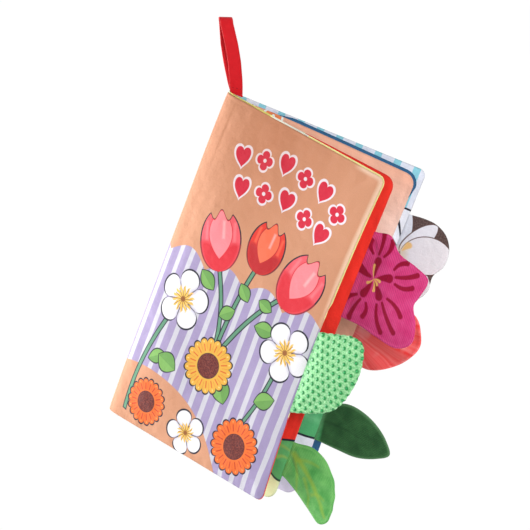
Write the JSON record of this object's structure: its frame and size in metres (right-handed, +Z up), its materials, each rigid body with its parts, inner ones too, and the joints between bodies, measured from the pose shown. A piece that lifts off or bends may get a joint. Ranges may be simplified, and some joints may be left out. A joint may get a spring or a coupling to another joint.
{
  "type": "crinkle cloth book",
  "caption": "Soft baby book with padded crinkle leaves sewn on one fold, fabric tails along the fore edges and a ribbon loop to hang it by.",
  "frame": {"origin": "the axis of a hook bearing inside the round top of the ribbon loop", "axes": "+Z up along the fold, +X from the fold towards the fore edges, -Y out of the front cover"},
  "size_m": [0.2134, 0.0937, 0.2829],
  "materials": {
    "peach_cloth": "printed plain-weave polyester",
    "cream_cloth": "printed plain-weave polyester",
    "red_cloth": "printed plain-weave polyester",
    "aqua_cloth": "printed plain-weave polyester",
    "salmon_cloth": "printed plain-weave polyester",
    "navy_cloth": "printed plain-weave polyester",
    "crinkle_film": "thin clear film",
    "wadding": "soft polyester wadding",
    "minky": "dimple-dot plush",
    "leaf_velvet": "short velvet",
    "magenta_velvet": "short velvet",
    "green_velvet": "short velvet",
    "coral_organza": "sheer organza",
    "white_cloth": "printed plain weave",
    "ribbon": "woven satin ribbon",
    "thread": "cotton thread"
  },
  "bodies": {
    "loop": {"hanging_loop": "ribbon"},
    "back_cover": {"back_cover_page": "aqua_cloth", "back_cover_crinkle_film": "crinkle_film", "back_cover_wadding": "wadding", "back_cover_cloth": "peach_cloth", "spine_cloth": "peach_cloth", "spine_lining": "cream_cloth"},
    "third_leaf": {"third_leaf_front_page": "salmon_cloth", "third_leaf_crinkle_film": "crinkle_film", "third_leaf_wadding": "wadding", "third_leaf_back_page": "navy_cloth", "centre_fold_outer": "red_cloth", "centre_fold_inner": "aqua_cloth", "centre_stitching": "thread"},
    "second_leaf": {"second_leaf_front_page": "red_cloth", "second_leaf_crinkle_film": "crinkle_film", "second_leaf_wadding": "wadding", "second_leaf_back_page": "aqua_cloth"},
    "front_cover": {"front_cover_cloth": "peach_cloth", "front_cover_crinkle_film": "crinkle_film", "front_cover_wadding": "wadding", "front_cover_page": "cream_cloth"},
    "minky_leaf": {"minky_leaf_face": "minky", "minky_leaf_back": "minky", "minky_leaf_wadding": "wadding"},
    "veined_leaf": {"veined_leaf_face": "leaf_velvet", "veined_leaf_back": "leaf_velvet", "veined_leaf_wadding": "wadding"},
    "blossom": {"blossom_face": "magenta_velvet", "blossom_back": "magenta_velvet", "blossom_wadding": "wadding"},
    "dark_leaf": {"dark_leaf_face": "green_velvet", "dark_leaf_back": "green_velvet", "dark_leaf_film": "crinkle_film"},
    "organza_petal": {"organza_petal_face": "coral_organza", "organza_petal_back": "coral_organza"},
    "printed_petal": {"printed_petal_face": "white_cloth", "printed_petal_back": "white_cloth", "printed_petal_film": "crinkle_film"}
  },
  "joints": [
    {"name": "loop_swing", "type": "hinge", "parent": "loop", "child": "back_cover", "pos_m": [0.02226, 0, -0.0429], "axis": [1, 0, 0], "range_deg": [-60, 60]},
    {"name": "open_last_spread", "type": "hinge", "parent": "back_cover", "child": "third_leaf", "pos_m": [0.02161, 0.00331, -0.1605], "axis": [0, 0, -1], "range_deg": [-6, 60], "deforming": ["spine_cloth", "spine_lining"]},
    {"name": "open_middle_spread", "type": "hinge", "parent": "third_leaf", "child": "second_leaf", "pos_m": [0.02129, 0.00005, -0.1605], "axis": [0, 0, -1], "range_deg": [-7, 168], "deforming": ["spine_cloth", "spine_lining", "centre_fold_outer", "centre_fold_inner"]},
    {"name": "open_first_spread", "type": "hinge", "parent": "second_leaf", "child": "front_cover", "pos_m": [0.02001, -0.00299, -0.1605], "axis": [0, 0, -1], "range_deg": [-1, 60], "deforming": ["spine_cloth", "spine_lining"]},
    {"name": "minky_leaf_flap", "type": "hinge", "parent": "front_cover", "child": "minky_leaf", "pos_m": [0.13923, -0.0651, -0.18], "axis": [0, 0, -1], "range_deg": [-20, 60]},
    {"name": "veined_leaf_flap", "type": "hinge", "parent": "second_leaf", "child": "veined_leaf", "pos_m": [0.14823, -0.05456, -0.253], "axis": [0, 0, -1], "range_deg": [-25, 60]},
    {"name": "blossom_flap", "type": "hinge", "parent": "second_leaf", "child": "blossom", "pos_m": [0.14789, -0.05442, -0.111], "axis": [0, 0, -1], "range_deg": [-25, 60]},
    {"name": "dark_leaf_flap", "type": "hinge", "parent": "third_leaf", "child": "dark_leaf", "pos_m": [0.1569, -0.02416, -0.2195], "axis": [0, 0, -1], "range_deg": [-30, 28]},
    {"name": "organza_petal_flap", "type": "hinge", "parent": "third_leaf", "child": "organza_petal", "pos_m": [0.15641, -0.02406, -0.151], "axis": [0, 0, -1], "range_deg": [-30, 28]},
    {"name": "printed_petal_flap", "type": "hinge", "parent": "back_cover", "child": "printed_petal", "pos_m": [0.1592, 0.005, -0.0995], "axis": [0, 0, -1], "range_deg": [-60, 50]}
  ]
}
